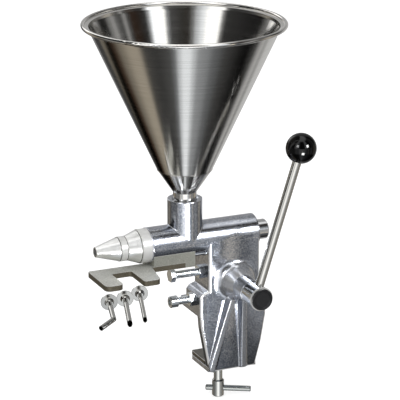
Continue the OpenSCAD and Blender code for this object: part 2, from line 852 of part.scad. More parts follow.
module pad_rivet() color("silver") at_seat()
    at_screw(pad_top_z - pad_t + pad_web) cylinder(h = pad_t - pad_web - rivet_recess, r = rivet_r);

// Loose tips

// Sets a tip down on the seat's plane: its flange's edge and the end of its tube, of radius r, touch it
module lying(at, turn, r, length) {
    dip = atan((tip_flange_r - r) / length);
    translate([at[0], at[1], seat_z + tip_flange_r * cos(dip)])
        rotate([0, 0, -turn]) rotate([90 + dip, 0, 0])
        children();
}

module tip_head(r)
    union() {
        cylinder(h = tip_flange_t, r = tip_flange_r);
        translate([0, 0, tip_flange_t]) cylinder(h = tip_hub_len, r1 = tip_hub_r, r2 = r + tip_hub_end);
    }

// A straight tip whose tube is cut on a slant, with its mouth facing up
module straight_tip(r, length)
    difference() {
        union() {
            tip_head(r);
            cylinder(h = length, r = r);
        }
        translate([0, 0, -cut]) cylinder(h = length + 2 * cut, r = r - tip_wall);
        translate([0, -r, length]) rotate([-slant, 0, 0]) translate([-length / 2, 0, 0]) cube(length);
    }

// The bent tube's run as one solid rod with a round corner, its ends longer by over
module bent_rod(r, over) {
    translate([0, 0, -over]) cylinder(h = bent_leg + over, r = r);
    translate([0, 0, bent_leg]) sphere(r = r);
    translate([0, 0, bent_leg]) rotate([0, -bent_angle, 0]) cylinder(h = bent_end + over, r = r);
}

module tip_bent() color("silver") at_seat()
    lying(bent_at, bent_turn, tip_wide_r, bent_leg + bent_end * cos(bent_angle)) difference() {
        union() {
            tip_head(tip_wide_r);
            bent_rod(tip_wide_r, 0);
        }
        bent_rod(tip_wide_r - tip_wall, cut);
    }

module tip_wide() color("silver") at_seat() lying(wide_at, wide_turn, tip_wide_r, wide_len)
    straight_tip(tip_wide_r, wide_len);

module tip_fine() color("silver") at_seat() lying(fine_at, fine_turn, tip_fine_r, fine_len)
    straight_tip(tip_fine_r, fine_len);

body_casting();
bearing_sleeve();
bush_far();
lock_nut_upper();
lock_nut_lower();
saddle_block();
fork_plate();
fork_screw_front();
fork_screw_rear();
block_screw_front();
block_screw_rear();
hopper_cone();
hopper_outlet();
nozzle_cap();
nozzle_gasket();
nozzle_cone();
piston();
piston_seal_front();
piston_seal_rear();
cross_shaft();
crank_arm();
crank_pin();
shaft_circlip();
lever_hub();
hub_ring();
hub_cap();
lever_rod();
ball_knob();
stop_screw_upper();
stop_screw_lower();
clamp_screw();
tommy_bar();
clamp_pad();
pad_rivet();
tip_bent();
tip_wide();
tip_fine();
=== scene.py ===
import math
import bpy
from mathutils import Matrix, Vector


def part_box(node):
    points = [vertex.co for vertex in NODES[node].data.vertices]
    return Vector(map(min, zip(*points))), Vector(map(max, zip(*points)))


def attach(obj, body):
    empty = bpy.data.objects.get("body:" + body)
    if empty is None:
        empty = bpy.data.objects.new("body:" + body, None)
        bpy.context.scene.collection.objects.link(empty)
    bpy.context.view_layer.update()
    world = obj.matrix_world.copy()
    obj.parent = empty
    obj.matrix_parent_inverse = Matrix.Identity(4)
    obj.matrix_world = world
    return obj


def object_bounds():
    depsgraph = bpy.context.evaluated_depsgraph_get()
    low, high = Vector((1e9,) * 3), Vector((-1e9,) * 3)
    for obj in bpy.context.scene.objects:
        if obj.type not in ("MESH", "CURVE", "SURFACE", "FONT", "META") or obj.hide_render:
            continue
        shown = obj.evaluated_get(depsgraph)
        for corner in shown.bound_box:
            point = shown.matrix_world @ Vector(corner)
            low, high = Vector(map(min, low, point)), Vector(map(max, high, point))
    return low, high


bl_info = {
    "name": "Donut filler looks",
    "version": (1, 0, 0),
    "blender": (4, 5, 0),
    "location": "View3D > Sidebar > Filler",
    "description": "Finishes and small details for a table-clamped donut filler",
    "category": "Object",
}

import bpy
from mathutils import Vector

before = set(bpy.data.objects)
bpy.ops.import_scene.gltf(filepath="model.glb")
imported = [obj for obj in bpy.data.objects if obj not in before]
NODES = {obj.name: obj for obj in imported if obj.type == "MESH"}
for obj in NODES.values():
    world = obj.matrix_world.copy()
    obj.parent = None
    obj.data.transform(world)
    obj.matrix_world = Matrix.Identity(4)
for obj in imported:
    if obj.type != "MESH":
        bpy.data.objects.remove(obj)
CAD_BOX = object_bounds()

MM = 0.001

# The kinds of node that come up more than once
MATH = "ShaderNodeMath"
VECTOR_MATH = "ShaderNodeVectorMath"
SEPARATE = "ShaderNodeSeparateXYZ"
MIX = "ShaderNodeMix"
MAP_RANGE = "ShaderNodeMapRange"
COORDINATES = "ShaderNodeTexCoord"
GEOMETRY = "ShaderNodeNewGeometry"
BEVEL = "ShaderNodeBevel"
EMISSION = "ShaderNodeEmission"

# Axes that the finishes and the added pieces line up with, read from the frame
HOPPER_LOW, HOPPER_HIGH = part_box("hopper_cone")
HOPPER_AXIS = (HOPPER_LOW + HOPPER_HIGH) / 2
BARREL_LOW, BARREL_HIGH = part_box("piston")
BARREL_AXIS = (BARREL_LOW + BARREL_HIGH) / 2
SHAFT_LOW, SHAFT_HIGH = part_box("cross_shaft")
SHAFT_AXIS = (SHAFT_LOW + SHAFT_HIGH) / 2
SCREW_LOW, SCREW_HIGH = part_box("clamp_screw")
SCREW_AXIS = (SCREW_LOW + SCREW_HIGH) / 2
FLOOR_Z = CAD_BOX[0].z

# The near face's crown: where its top is, how far left it starts, and how much lower it is one span away,
# across and down, in steps of the skin's height
CROWN_AT = Vector((SCREW_AXIS.x - 8.0 * MM, 0.0, SHAFT_AXIS.z))
CROWN_FROM = SCREW_AXIS.x - 33.0 * MM
CROWN_SPAN = 50.0 * MM
CROWN_ACROSS = 70.0
CROWN_DOWN = 22.0

# The ribs' outer faces, which get a painted highlight: the upward part of their normal, where they start,
# and how pale the painted highlight makes them
RIB_TILT = -0.08
RIB_START = SHAFT_AXIS.z - 16.0 * MM
RIB_HIGHLIGHT_SHARE = 0.35

# The boss's flare gets a painted highlight: how pale it makes it, and where it fades out round the shaft
BOSS_HIGHLIGHT_SHARE = 0.45
BOSS_NEAR = 19.0 * MM
BOSS_FAR = 30.0 * MM

# The painted highlight on the chamfers lies outside this distance from the shaft
CHAMFER_HIGHLIGHT_BEYOND = 33.5 * MM

# Sizes of the frame's pieces that the added ones sit on
KNEE_RADIUS = 36.0 * MM
SHANK_RADIUS = 5.0 * MM
HEAD_MM = 6.4
CAP_MM = 10.0

# The camera that the photograph was fitted with, in metres from the table seat
CAMERA_AT = Vector((-1.0902, -2.3510, 0.9505))
CAMERA_TO = Vector((-0.0323, -0.0120, 0.1556))
LENS_MM = 185.2
SENSOR_MM = 36.0

# Small soft boxes, where the knob's three glints put them
LEFT_GLINT = (-1.84, -1.40, 1.45)
RIGHT_GLINT = (1.11, -2.24, 1.30)
KNOB = sum(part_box("ball_knob"), Vector()) / 2
LOW_GLINT = tuple(KNOB.lerp(Vector((-0.42, -2.36, -0.98)), 0.42))

# The pieces that glint, and the lamps as (name, place, side in metres, watts, the pieces that alone see it)
GLINTED = {
    "knob_glints": ("ball_knob",),
    "casting_glints": (
        "body_casting", "nozzle_cap", "nozzle_cone", "bearing_sleeve", "lever_hub", "hub_ring",
        "stop_screw_upper", "stop_screw_lower", "lock_nut_upper", "lock_nut_lower"),
}
LAMPS = (
    ("key_box", (-1.4, -1.6, 2.0), 1.2, 22.0, None),
    ("fill_box", (1.8, -1.2, 1.2), 1.4, 10.0, None),
    ("knob_left", LEFT_GLINT, 0.75, 22.0, "knob_glints"),
    ("knob_right", RIGHT_GLINT, 0.75, 80.0, "knob_glints"),
    ("knob_low", LOW_GLINT, 0.33, 16.0, "knob_glints"),
    ("cast_left", LEFT_GLINT, 0.75, 14.0, "casting_glints"),
    ("cast_right", RIGHT_GLINT, 0.75, 40.0, "casting_glints"),
    ("cast_low", LOW_GLINT, 0.33, 7.8, "casting_glints"),
)

# Light that the world sends to the object, and the floor's own white
WORLD_LIGHT = 0.55
FLOOR_GLOW = 0.6

# Bands of the nozzle's cap, and the dark joints beside them, which are drawn wide enough to show
COLLAR_MM = 13.5
RING_MM = 9.5
JOINT_MM = 0.9

# The floor's side and the studio shell's radius, in metres
FLOOR_SIDE = 12.0
STUDIO_RADIUS = 9.0


class FillerSizes(bpy.types.PropertyGroup):
    """Sizes of the details that the scene adds to the frame."""

    stop_pitch: bpy.props.FloatProperty(
        name="Stop thread pitch", description="Rise of a stop screw's thread in one turn",
        default=1.5 * MM, unit="LENGTH", min=0.8 * MM, max=2.0 * MM)
    crest_height: bpy.props.FloatProperty(
        name="Thread crest", description="How far the thread's crest stands out of the shank",
        default=0.3 * MM, unit="LENGTH", min=0.1 * MM, max=0.9 * MM)
    weld_height: bpy.props.FloatProperty(
        name="Weld height", description="How far the dressed weld stands out of the hopper's sheet",
        default=0.5 * MM, unit="LENGTH", min=0.1 * MM, max=1.5 * MM)


class FillerColours(bpy.types.PropertyGroup):
    """Colours that a user would change, as sRGB hex."""

    casting: bpy.props.StringProperty(
        name="Casting", description="Tumbled cast aluminium", default="#C6CAD3")
    turned: bpy.props.StringProperty(
        name="Turned aluminium", description="Satin turned aluminium", default="#F2F2F0")
    plate: bpy.props.StringProperty(
        name="Plate", description="Matte milled aluminium plate", default="#E4E4DE")
    stainless: bpy.props.StringProperty(
        name="Stainless", description="Polished stainless sheet", default="#DAD8D3")
    knob: bpy.props.StringProperty(
        name="Knob", description="Glossy phenolic ball", default="#040404")


def linear(code):
    """An sRGB hex colour as linear RGBA."""
    parts = [int(code[i:i + 2], 16) / 255 for i in (1, 3, 5)]
    return [c / 12.92 if c <= 0.04045 else ((c + 0.055) / 1.055) ** 2.4 for c in parts] + [1.0]


def put(tree, kind, settings=None, links=None):
    """Adds a node, sets its sockets and properties by name, and links the sockets given."""
    made = tree.nodes.new(kind)
    for name, value in (settings or {}).items():
        if isinstance(name, str) and hasattr(made, name):
            setattr(made, name, value)
        else:
            made.inputs[name].default_value = value
    for name, socket in (links or {}).items():
        tree.links.new(socket, made.inputs[name])
    return made


def ramp(tree, fac, stops, interpolation="LINEAR"):
    """A colour ramp with the stops given as (place, colour)."""
    made = put(tree, "ShaderNodeValToRGB", links={"Fac": fac})
    made.color_ramp.interpolation = interpolation
    elements = made.color_ramp.elements
    while len(elements) < len(stops):
        elements.new(0.5)
    for element, (place, colour) in zip(elements, stops):
        element.position = place
        element.color = colour
    return made.outputs["Color"]


def grey(value):
    """A linear grey."""
    return [value, value, value, 1.0]


def new_material(name, settings):
    """A material whose Principled shader has its constant sockets set; gives (material, tree, shader)."""
    material = bpy.data.materials.new(name)
    material.use_nodes = True
    tree = material.node_tree
    shader = tree.nodes["Principled BSDF"]
    for socket, value in settings.items():
        shader.inputs[socket].default_value = value
    return material, tree, shader


def wipe_noise(tree, scale_mm, detail=4.0, stretch=(1.0, 1.0, 1.0)):
    """Noise in object space whose grain is about scale_mm; stretch squeezes it along each axis."""
    place = put(tree, COORDINATES).outputs["Object"]
    spread = put(tree, "ShaderNodeMapping", {"Scale": stretch}, {"Vector": place})
    return put(tree, "ShaderNodeTexNoise", {"Scale": 1.0 / (scale_mm * MM), "Detail": detail},
               {"Vector": spread.outputs["Vector"]}).outputs["Fac"]


def to_range(tree, value, low, high):
    """Maps a value of 0.3 to 0.7, where noise lies, to low to high."""
    return put(tree, MAP_RANGE,
               {"From Min": 0.3, "From Max": 0.7, "To Min": low, "To Max": high},
               {"Value": value}).outputs["Result"]


def bump(tree, shader, height, distance_mm, strength=1.0, round_mm=0.0):
    """Feeds a height into the shader's normal, over edges that look rounded by round_mm."""
    made = put(tree, "ShaderNodeBump", {"Strength": strength, "Distance": distance_mm * MM},
               {"Height": height})
    if round_mm:
        rounded = put(tree, BEVEL, {"samples": 8, "Radius": round_mm * MM})
        tree.links.new(rounded.outputs["Normal"], made.inputs["Normal"])
    tree.links.new(made.outputs["Normal"], shader.inputs["Normal"])


def around(tree, axis_point, axis):
    """Place round an axis: gives (direction of turning, distance from the axis, place along it)."""
    place = put(tree, COORDINATES).outputs["Object"]
    shift = put(tree, VECTOR_MATH, {"operation": "SUBTRACT", 1: axis_point}, {0: place})
    cross = put(tree, VECTOR_MATH, {"operation": "CROSS_PRODUCT", 0: axis}, {1: shift.outputs[0]})
    turn = put(tree, VECTOR_MATH, {"operation": "NORMALIZE"}, {0: cross.outputs[0]})
    far = put(tree, VECTOR_MATH, {"operation": "LENGTH"}, {0: cross.outputs[0]})
    along = put(tree, VECTOR_MATH, {"operation": "DOT_PRODUCT", 1: axis}, {0: shift.outputs[0]})
    return turn.outputs[0], far.outputs["Value"], along.outputs["Value"]


def line_noise(tree, along, far, spacing_mm):
    """Fine turning or polishing lines that run round an axis, about spacing_mm apart."""
    both = put(tree, "ShaderNodeCombineXYZ", {}, {"X": along, "Y": far})
    return put(tree, "ShaderNodeTexNoise",
               {"Scale": 1.0 / (spacing_mm * MM), "Detail": 3.0, "Roughness": 0.6},
               {"Vector": both.outputs[0]}).outputs["Fac"]


def brushed_stainless(colours):
    """Stainless sheet, spun and belt-polished round the hopper: the studio shows as streaks up the cone."""
    material, tree, shader = new_material(
        "brushed_stainless_sheet",
        {"Metallic": 1.0, "Anisotropic": 0.8, "Anisotropic Rotation": 0.25})
    turn, far, along = around(tree, HOPPER_AXIS, (0.0, 0.0, 1.0))
    tree.links.new(turn, shader.inputs["Tangent"])
    lines = line_noise(tree, along, far, 1.2)
    shade = ramp(tree, lines, [(0.3, linear(colours.stainless)), (0.7, linear("#EEECE8"))])
    tree.links.new(shade, shader.inputs["Base Color"])
    tree.links.new(to_range(tree, lines, 0.11, 0.17), shader.inputs["Roughness"])
    bump(tree, shader, lines, 0.01, 0.12)
    return material


def sand_cast_aluminium(name, dark, middle, light):
    """Cast aluminium, ground and tumbled: a slightly wavy cool grey skin, with a painted highlight on its
    sharp edges, chamfers, rib faces and boss flare.
    """
    material, tree, shader = new_material(name, {"Metallic": 1.0})
    place = put(tree, COORDINATES).outputs["Object"]
    skin = wipe_noise(tree, 1.5, 5.0)
    patches = wipe_noise(tree, 14.0, 3.0)
    shade = ramp(tree, skin, [(0.3, linear(dark)), (0.5, linear(middle)), (0.7, linear(light))])
    tone = ramp(tree, patches, [(0.3, grey(0.82)), (0.7, grey(1.0))])
    mixed = put(tree, MIX, {"data_type": "RGBA", "blend_type": "MULTIPLY"})
    mixed.inputs[0].default_value = 1.0
    tree.links.new(shade, mixed.inputs[6])
    tree.links.new(tone, mixed.inputs[7])
    # Painted highlight: sharp edges, chamfers, rib faces and the boss's flare go towards white and lose
    # their metal.
    painted_highlight = put(tree, MATH, {"operation": "MAXIMUM"},
               {0: chamfer_painted_highlight(tree, place), 1: painted_edge_highlight(tree, 0.9)}).outputs[0]
    for bright in (rib_painted_highlight(tree, place), boss_painted_highlight(tree, place)):
        painted_highlight = put(tree, MATH, {"operation": "MAXIMUM"}, {0: painted_highlight, 1: bright}).outputs[0]
    highlighted = put(tree, MIX, {"data_type": "RGBA"})
    tree.links.new(painted_highlight, highlighted.inputs[0])
    tree.links.new(mixed.outputs[2], highlighted.inputs[6])
    highlighted.inputs[7].default_value = linear("#FAFAFA")
    tree.links.new(highlighted.outputs[2], shader.inputs["Base Color"])
    dull = put(tree, MAP_RANGE, {"To Min": 1.0, "To Max": 0.35}, {"Value": painted_highlight})
    tree.links.new(dull.outputs["Result"], shader.inputs["Metallic"])
    tree.links.new(to_range(tree, skin, 0.12, 0.22), shader.inputs["Roughness"])
    wavy = put(tree, MATH, {"operation": "MULTIPLY", 1: 10.0}, {0: wipe_noise(tree, 45.0, 1.0)})
    height = put(tree, MATH, {"operation": "ADD"}, {0: wavy.outputs[0], 1: skin}).outputs[0]
    crowned = put(tree, MATH, {"operation": "SUBTRACT"}, {0: height, 1: crown(tree, place)}).outputs[0]
    bump(tree, shader, crowned, 0.07, 1.0, 2.5)
    return material


def crown(tree, place):
    """The slight round that grinding leaves on the near face, in steps of the skin's height."""
    parts = put(tree, SEPARATE, {}, {0: place}).outputs
    heights = []
    for name, top, drop in (("X", CROWN_AT.x, CROWN_ACROSS), ("Z", CROWN_AT.z, CROWN_DOWN)):
        off = put(tree, MATH, {"operation": "SUBTRACT", 1: top}, {0: parts[name]}).outputs[0]
        if name == "Z":
            off = put(tree, MATH, {"operation": "MINIMUM", 1: 0.0}, {0: off}).outputs[0]
        share = put(tree, MATH, {"operation": "DIVIDE", 1: CROWN_SPAN}, {0: off}).outputs[0]
        square = put(tree, MATH, {"operation": "MULTIPLY"}, {0: share, 1: share}).outputs[0]
        heights.append(put(tree, MATH, {"operation": "MULTIPLY", 1: drop}, {0: square}).outputs[0])
    both = put(tree, MATH, {"operation": "ADD"}, {0: heights[0], 1: heights[1]}).outputs[0]
    normal = put(tree, GEOMETRY).outputs["True Normal"]
    facing = put(tree, VECTOR_MATH, {"operation": "DOT_PRODUCT", 1: (0.0, -1.0, 0.0)}, {0: normal})
    flat = put(tree, MATH, {"operation": "GREATER_THAN", 1: 0.995}, {0: facing.outputs["Value"]})
    web = put(tree, MATH, {"operation": "GREATER_THAN", 1: CROWN_FROM}, {0: parts["X"]})
    there = put(tree, MATH, {"operation": "MULTIPLY"}, {0: flat.outputs[0], 1: web.outputs[0]}).outputs[0]
    return put(tree, MATH, {"operation": "MULTIPLY"}, {0: both, 1: there}).outputs[0]


def rib_painted_highlight(tree, place):
    """Part of one on the ribs' outer faces, which slope in and down below the boss: a painted highlight
    that makes them paler.
    """
    normal = put(tree, SEPARATE, {},
                 {0: put(tree, GEOMETRY).outputs["True Normal"]})
    down = put(tree, MATH, {"operation": "COMPARE", 1: RIB_TILT, 2: 0.025}, {0: normal.outputs["Z"]})
    level = put(tree, MATH, {"operation": "COMPARE", 1: 0.0, 2: 0.05}, {0: normal.outputs["X"]})
    height = put(tree, SEPARATE, {}, {0: place}).outputs["Z"]
    below = put(tree, MATH, {"operation": "LESS_THAN", 1: RIB_START}, {0: height})
    both = put(tree, MATH, {"operation": "MULTIPLY"}, {0: down.outputs[0], 1: level.outputs[0]})
    all_three = put(tree, MATH, {"operation": "MULTIPLY"}, {0: both.outputs[0], 1: below.outputs[0]})
    return put(tree, MATH, {"operation": "MULTIPLY", 1: RIB_HIGHLIGHT_SHARE}, {0: all_three.outputs[0]}).outputs[0]


def boss_painted_highlight(tree, place):
    """Part of one on the boss's flare: a painted highlight that makes it paler and duller than the ground
    face.
    """
    flat = put(tree, VECTOR_MATH, {"operation": "MULTIPLY", 1: (1.0, 0.0, 1.0)}, {0: place})
    centre = (SHAFT_AXIS.x, 0.0, SHAFT_AXIS.z)
    far = put(tree, VECTOR_MATH, {"operation": "DISTANCE", 1: centre}, {0: flat.outputs[0]})
    return put(tree, MAP_RANGE,
               {"From Min": BOSS_FAR, "From Max": BOSS_NEAR, "To Min": 0.0, "To Max": BOSS_HIGHLIGHT_SHARE},
               {"Value": far.outputs["Value"]}).outputs["Result"]


def painted_edge_highlight(tree, width_mm):
    """One along sharp edges, where a rounded normal turns away from the true one: the mask for a painted
    highlight along them.
    """
    rounded = put(tree, BEVEL, {"samples": 6, "Radius": width_mm * MM}).outputs["Normal"]
    normal = put(tree, GEOMETRY).outputs["Normal"]
    same = put(tree, VECTOR_MATH, {"operation": "DOT_PRODUCT"}, {0: rounded, 1: normal})
    return put(tree, MAP_RANGE, {"From Min": 0.985, "From Max": 0.90, "To Min": 0.0, "To Max": 1.0},
               {"Value": same.outputs["Value"]}).outputs["Result"]


def chamfer_painted_highlight(tree, place):
    """One on the chamfers between the near face and the walls, away from boss and neck: the mask for a
    painted highlight on them.
    """
    normal = put(tree, GEOMETRY).outputs["True Normal"]
    facing = put(tree, VECTOR_MATH, {"operation": "DOT_PRODUCT", 1: (0.0, -1.0, 0.0)}, {0: normal})
    near = put(tree, MATH, {"operation": "COMPARE", 1: math.sqrt(0.5), 2: 0.02},
               {0: facing.outputs["Value"]})
    flat = put(tree, VECTOR_MATH, {"operation": "MULTIPLY", 1: (1.0, 0.0, 1.0)}, {0: place})
    centre = (SHAFT_AXIS.x, 0.0, SHAFT_AXIS.z)
    far = put(tree, VECTOR_MATH, {"operation": "DISTANCE", 1: centre}, {0: flat.outputs[0]})
    beyond = put(tree, MATH, {"operation": "GREATER_THAN", 1: CHAMFER_HIGHLIGHT_BEYOND}, {0: far.outputs["Value"]})
    parts = put(tree, SEPARATE, {}, {0: place})
    low = put(tree, MATH, {"operation": "LESS_THAN", 1: BARREL_AXIS.z}, {0: parts.outputs["Z"]})
    both = put(tree, MATH, {"operation": "MULTIPLY"}, {0: near.outputs[0], 1: beyond.outputs[0]})
    return put(tree, MATH, {"operation": "MULTIPLY"}, {0: both.outputs[0], 1: low.outputs[0]}).outputs[0]


def turned_metal(name, axis_point, axis, colour, roughness, spacing_mm, anisotropic=0.5, metallic=1.0):
    """Metal finished on a lathe: fine rings round its axis, and light drawn out across them."""
    material, tree, shader = new_material(
        name,
        {"Metallic": metallic, "Anisotropic": anisotropic, "Anisotropic Rotation": 0.25,
         "Base Color": linear(colour)})
    turn, far, along = around(tree, axis_point, axis)
    tree.links.new(turn, shader.inputs["Tangent"])
    lines = line_noise(tree, along, far, spacing_mm)
    tree.links.new(to_range(tree, lines, roughness * 0.75, roughness * 1.25), shader.inputs["Roughness"])
    bump(tree, shader, lines, 0.03, 0.3)
    return material


def milled_plate(name, face, side):
    """Aluminium plate, milled and tumbled matte: pale grey with a faint grain, painted shade on its upright
    sides and a painted highlight along its edges.
    """
    material, tree, shader = new_material(name, {"Metallic": 0.75, "Roughness": 0.55})
    grain = wipe_noise(tree, 0.8, 5.0, (0.3, 1.0, 1.0))
    cloud = wipe_noise(tree, 16.0, 2.0)
    shade = ramp(tree, grain, [(0.3, linear("#C6C7C1")), (0.55, linear(face)), (0.72, linear("#F6F6F2"))])
    tone = ramp(tree, cloud, [(0.3, grey(0.88)), (0.7, grey(1.0))])
    mixed = put(tree, MIX, {"data_type": "RGBA", "blend_type": "MULTIPLY", "Factor": 1.0})
    tree.links.new(shade, mixed.inputs[6])
    tree.links.new(tone, mixed.inputs[7])
    # Painted shade: upright faces are multiplied by the side colour, so they are darker than the top.
    normal = put(tree, GEOMETRY).outputs["True Normal"]
    upright = put(tree, SEPARATE, {}, {0: normal}).outputs["Z"]
    side_shade = put(tree, MATH, {"operation": "COMPARE", 1: 0.0, 2: 0.3}, {0: upright}).outputs[0]
    side_shaded = put(tree, MIX, {"data_type": "RGBA", "blend_type": "MULTIPLY"})
    tree.links.new(side_shade, side_shaded.inputs[0])
    tree.links.new(mixed.outputs[2], side_shaded.inputs[6])
    side_shaded.inputs[7].default_value = linear(side)
    # Painted highlight: a pale line along the plate's sharp edges.
    painted_highlight = painted_edge_highlight(tree, 0.6)
    edge_highlighted = put(tree, MIX, {"data_type": "RGBA"})
    tree.links.new(painted_highlight, edge_highlighted.inputs[0])
    tree.links.new(side_shaded.outputs[2], edge_highlighted.inputs[6])
    edge_highlighted.inputs[7].default_value = linear("#E4E4E0")
    tree.links.new(edge_highlighted.outputs[2], shader.inputs["Base Color"])
    bump(tree, shader, grain, 0.05, 0.4)
    return material


def plated_steel(name, colour, roughness):
    """Plated or ground steel: bright, with faint clouding from handling."""
    material, tree, shader = new_material(name, {"Metallic": 1.0, "Base Color": linear(colour)})
    cloud = wipe_noise(tree, 5.0, 4.0)
    tree.links.new(to_range(tree, cloud, roughness * 0.7, roughness * 1.4), shader.inputs["Roughness"])
    bump(tree, shader, wipe_noise(tree, 0.7, 3.0), 0.01, 0.2)
    return material


def phenolic_ball(colours):
    """Compression-moulded phenolic: deep black, polished to a gloss with the faintest orange peel."""
    material, tree, shader = new_material(
        "gloss_phenolic", {"Base Color": linear(colours.knob), "IOR": 1.5, "Specular IOR Level": 0.3})
    tree.links.new(to_range(tree, wipe_noise(tree, 6.0), 0.03, 0.06), shader.inputs["Roughness"])
    bump(tree, shader, wipe_noise(tree, 4.0, 2.0), 0.01, 0.15)
    return material


def moulded_nylon():
    """Injection-moulded black nylon cap with a fine spark-eroded texture."""
    material, tree, shader = new_material("satin_black_nylon", {"IOR": 1.53})
    grain = wipe_noise(tree, 0.5, 3.0)
    shade = ramp(tree, grain, [(0.35, linear("#121214")), (0.65, linear("#242427"))])
    tree.links.new(shade, shader.inputs["Base Color"])
    tree.links.new(to_range(tree, grain, 0.34, 0.48), shader.inputs["Roughness"])
    bump(tree, shader, grain, 0.03, 0.3)
    return material


def seal_rubber(name, colour):
    """Moulded nitrile rubber: matte, with a dusty bloom."""
    material, tree, shader = new_material(name, {"IOR": 1.52, "Base Color": linear(colour)})
    tree.links.new(to_range(tree, wipe_noise(tree, 1.5), 0.55, 0.75), shader.inputs["Roughness"])
    bump(tree, shader, wipe_noise(tree, 0.8), 0.02, 0.3)
    return material


def settle(piece, body, material):
    """Ends a new piece: its place goes into its mesh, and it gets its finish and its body."""
    bpy.ops.object.select_all(action="DESELECT")
    piece.select_set(True)
    bpy.context.view_layer.objects.active = piece
    bpy.ops.object.transform_apply(location=True, rotation=True, scale=True)
    bpy.ops.object.shade_smooth_by_angle(angle=math.radians(40.0))
    piece.data.materials.clear()
    piece.data.materials.append(material)
    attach(piece, body)


def dress(material, *names):
    """Puts the material on every slot of the CAD nodes named."""
    for name in names:
        slots = NODES[name].data.materials
        slots.clear()
        slots.append(material)


class DRESS_OT_casting(bpy.types.Operator):
    """Finishes the casting, the saddle block and the fork plate."""

    bl_idname = "filler.casting"
    bl_label = "Casting and plate"

    def execute(self, context):
        colours = context.scene.filler_colours
        tumbled = sand_cast_aluminium("tumbled_cast_aluminium", "#A3A8B4", colours.casting, "#E6E8EC")
        dress(tumbled, "body_casting")
        # The clamp pad's dark greys are painted shade: cast aluminium darkened to the shade it lies in.
        dress(sand_cast_aluminium("shaded_cast_aluminium", "#55534E", "#76736B", "#94918A"), "clamp_pad")
        # The last colour is painted shade on each plate's upright sides.
        dress(milled_plate("matte_milled_plate", colours.plate, "#8F8778"), "fork_plate")
        dress(milled_plate("matte_milled_block", colours.plate, "#D8D8D2"), "saddle_block")
        sleeve = turned_metal("turned_sleeve_aluminium", SHAFT_AXIS, (0.0, 1.0, 0.0), "#C9CBCF", 0.28, 0.5)
        dress(sleeve, "bearing_sleeve")
        dress(turned_metal("bearing_bronze", SHAFT_AXIS, (0.0, 1.0, 0.0), "#A98455", 0.35, 0.4), "bush_far")
        zinc = plated_steel("bright_zinc_steel", "#E8ECEF", 0.12)
        dress(zinc, "lock_nut_upper", "lock_nut_lower", "stop_screw_upper", "stop_screw_lower")
        dress(plated_steel("ground_screw_steel", "#BDBDBB", 0.3), "fork_screw_front", "fork_screw_rear",
              "block_screw_front", "block_screw_rear")
        return {"FINISHED"}


class DRESS_OT_threads(bpy.types.Operator):
    """Winds the threads that show on the two stop screws, between head and lock nut."""

    bl_idname = "filler.threads"
    bl_label = "Stop screw threads"

    def execute(self, context):
        sizes = context.scene.filler_sizes
        zinc = NODES["stop_screw_upper"].data.materials[0]
        for side, head in (("upper", HEAD_MM), ("lower", CAP_MM)):
            screw_low, screw_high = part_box(f"stop_screw_{side}")
            start = screw_low.x + (head + 1.0) * MM
            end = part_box(f"lock_nut_{side}")[0].x - 1.0 * MM
            middle = (screw_low + screw_high) / 2
            first = Vector((start, middle.y, middle.z))
            made = self.thread(first, end - start, sizes.stop_pitch, sizes.crest_height)
            made.name = f"stop_thread_{side}"
            settle(made, f"{side}_stop", zinc)
        return {"FINISHED"}

    def thread(self, start, length, pitch, crest):
        """A ridge of triangular section, wound round the x axis."""
        root = 0.2 * MM
        bpy.ops.object.select_all(action="DESELECT")
        bpy.ops.mesh.primitive_circle_add(
            vertices=3, radius=1.0, fill_type="NOTHING", location=start, rotation=(math.pi / 2, 0.0, 0.0))
        made = bpy.context.object
        bpy.ops.object.transform_apply(location=False, rotation=True, scale=True)
        bpy.ops.object.mode_set(mode="EDIT")
        bpy.ops.mesh.select_all(action="SELECT")
        bpy.ops.transform.resize(
            value=(0.9 * pitch / math.sqrt(3), 1.0, (crest + root) / 1.5), center_override=start)
        bpy.ops.transform.translate(value=(0.0, 0.0, SHANK_RADIUS - root + (crest + root) / 3))
        bpy.ops.object.mode_set(mode="OBJECT")
        wound = made.modifiers.new("wound", "SCREW")
        wound.axis = "X"
        wound.screw_offset = pitch
        wound.iterations = int(length / pitch)
        wound.steps = wound.render_steps = 24
        bpy.ops.object.modifier_apply(modifier="wound")
        bpy.ops.object.mode_set(mode="EDIT")
        bpy.ops.mesh.select_all(action="SELECT")
        bpy.ops.mesh.fill_holes(sides=3)
        bpy.ops.mesh.select_all(action="SELECT")
        bpy.ops.mesh.normals_make_consistent(inside=False)
        bpy.ops.object.mode_set(mode="OBJECT")
        return made


